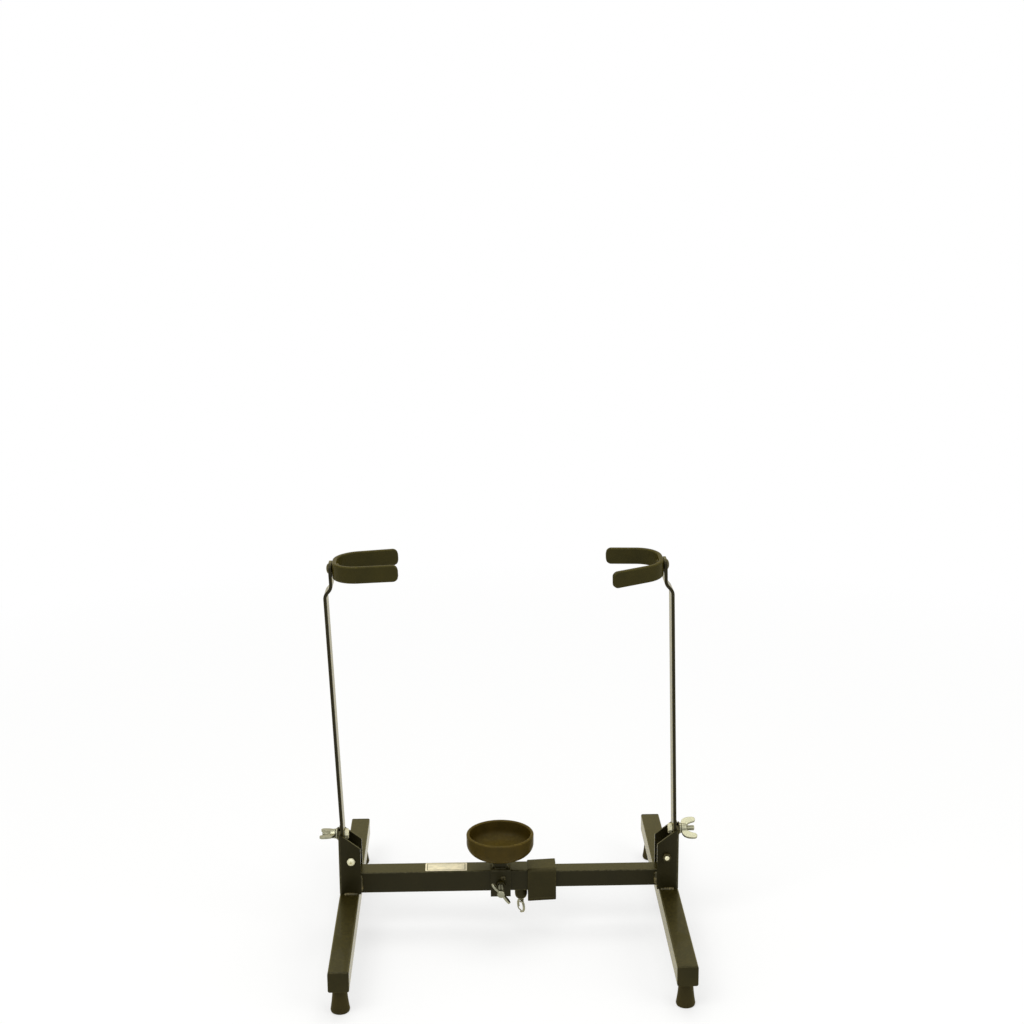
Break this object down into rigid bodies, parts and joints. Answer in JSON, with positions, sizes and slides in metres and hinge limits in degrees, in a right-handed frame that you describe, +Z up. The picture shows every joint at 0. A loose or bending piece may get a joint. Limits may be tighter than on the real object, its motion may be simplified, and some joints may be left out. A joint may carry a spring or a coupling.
{
  "type": "euphonium stand",
  "caption": "Folding floor stand with H-shaped steel base, width-adjustable crossbar, sliding rubber cup, and hinged side arms ending in padded U-shaped clips.",
  "frame": {"origin": "on the floor under the middle of the stand, at the bottom centre of its bounding box", "axes": "+Z up, +X to the right along the crossbar, -Y to the front, where the wing screw of the cup clamp is"},
  "size_m": [0.3458, 0.32, 0.3589],
  "materials": {
    "painted_steel": "satin dark paint",
    "black_rubber": "matte moulded rubber",
    "black_plastic": "fine-grained moulded plastic",
    "zinc_plate": "zinc plated, slightly yellow",
    "dark_steel": "blackened steel"
  },
  "bodies": {
    "left_frame": {"left_leg": "painted_steel", "left_front_plug": "black_plastic", "left_back_plug": "black_plastic", "left_front_foot": "black_rubber", "left_back_foot": "black_rubber", "left_bracket": "painted_steel", "left_pivot_bolt": "zinc_plate", "left_pivot_nut": "zinc_plate", "left_lock_stud": "zinc_plate", "left_spacer_washer": "dark_steel", "left_washer": "zinc_plate", "outer_crossbar": "painted_steel", "joint_sleeve": "black_plastic", "lock_boss": "black_plastic", "lock_spring": "zinc_plate"},
    "right_frame": {"right_leg": "painted_steel", "right_front_plug": "black_plastic", "right_back_plug": "black_plastic", "right_front_foot": "black_rubber", "right_back_foot": "black_rubber", "right_bracket": "painted_steel", "right_pivot_bolt": "zinc_plate", "right_pivot_nut": "zinc_plate", "right_lock_stud": "zinc_plate", "right_spacer_washer": "dark_steel", "right_washer": "zinc_plate", "inner_crossbar": "painted_steel"},
    "left_arm_body": {"left_arm": "painted_steel", "left_lock_bolt_head": "zinc_plate", "left_clip_rivet": "zinc_plate"},
    "right_arm_body": {"right_arm": "painted_steel", "right_lock_bolt_head": "zinc_plate", "right_clip_rivet": "zinc_plate"},
    "left_clip": {"left_clip_strap": "painted_steel", "left_clip_cover": "black_rubber"},
    "right_clip": {"right_clip_strap": "painted_steel", "right_clip_cover": "black_rubber"},
    "left_wing_nut_body": {"left_wing_nut": "zinc_plate"},
    "right_wing_nut_body": {"right_wing_nut": "zinc_plate"},
    "cup_carriage": {"cup_clamp": "painted_steel", "clamp_nut": "painted_steel", "clamp_set_screw": "dark_steel", "cup_post": "painted_steel", "cup": "black_rubber", "cup_screw": "zinc_plate"},
    "cup_wing_screw_body": {"cup_wing_screw": "zinc_plate"},
    "lock_pin_body": {"lock_pin": "zinc_plate"},
    "pull_ring_body": {"pull_ring": "zinc_plate"}
  },
  "joints": [
    {"name": "width_slide", "type": "slide", "parent": "left_frame", "child": "right_frame", "axis": [1, 0, 0], "range_m": [0, 0.045]},
    {"name": "left_arm_fold", "type": "hinge", "parent": "left_frame", "child": "left_arm_body", "pos_m": [-0.1447, 0, 0.0743], "axis": [0, 1, 0], "range_deg": [0, 78]},
    {"name": "right_arm_fold", "type": "hinge", "parent": "right_frame", "child": "right_arm_body", "pos_m": [0.1447, 0, 0.0743], "axis": [0, 1, 0], "range_deg": [-78, 0]},
    {"name": "left_clip_swivel", "type": "hinge", "parent": "left_arm_body", "child": "left_clip", "pos_m": [-0.15576, 0, 0.3493], "axis": [-0.9993, 0, -0.0384], "range_deg": [-18, 18]},
    {"name": "right_clip_swivel", "type": "hinge", "parent": "right_arm_body", "child": "right_clip", "pos_m": [0.14055, 0, 0.3493], "axis": [0.9997, 0, 0.0227], "range_deg": [-18, 18]},
    {"name": "left_wing_nut_spin", "type": "hinge", "parent": "left_frame", "child": "left_wing_nut_body", "pos_m": [-0.1625, 0, 0.097], "axis": [-1, 0, 0], "continuous": true},
    {"name": "right_wing_nut_spin", "type": "hinge", "parent": "right_frame", "child": "right_wing_nut_body", "pos_m": [0.1625, 0, 0.097], "axis": [1, 0, 0], "continuous": true},
    {"name": "cup_slide", "type": "slide", "parent": "left_frame", "child": "cup_carriage", "axis": [1, 0, 0], "range_m": [-0.07, 0.003]},
    {"name": "cup_wing_screw_spin", "type": "hinge", "parent": "cup_carriage", "child": "cup_wing_screw_body", "pos_m": [-0.008, -0.03, 0.049], "axis": [0, -1, 0], "continuous": true},
    {"name": "lock_pin_pull", "type": "slide", "parent": "left_frame", "child": "lock_pin_body", "axis": [0, 0, 1], "range_m": [-0.004, 0], "stiffness_N_per_m": 300, "springref_m": 0.01, "deforming": ["lock_spring"]},
    {"name": "pull_ring_swing", "type": "hinge", "parent": "lock_pin_body", "child": "pull_ring_body", "pos_m": [0.01095, 0, 0.028], "axis": [-0.4226, 0.9063, 0], "range_deg": [-60, 60]}
  ]
}
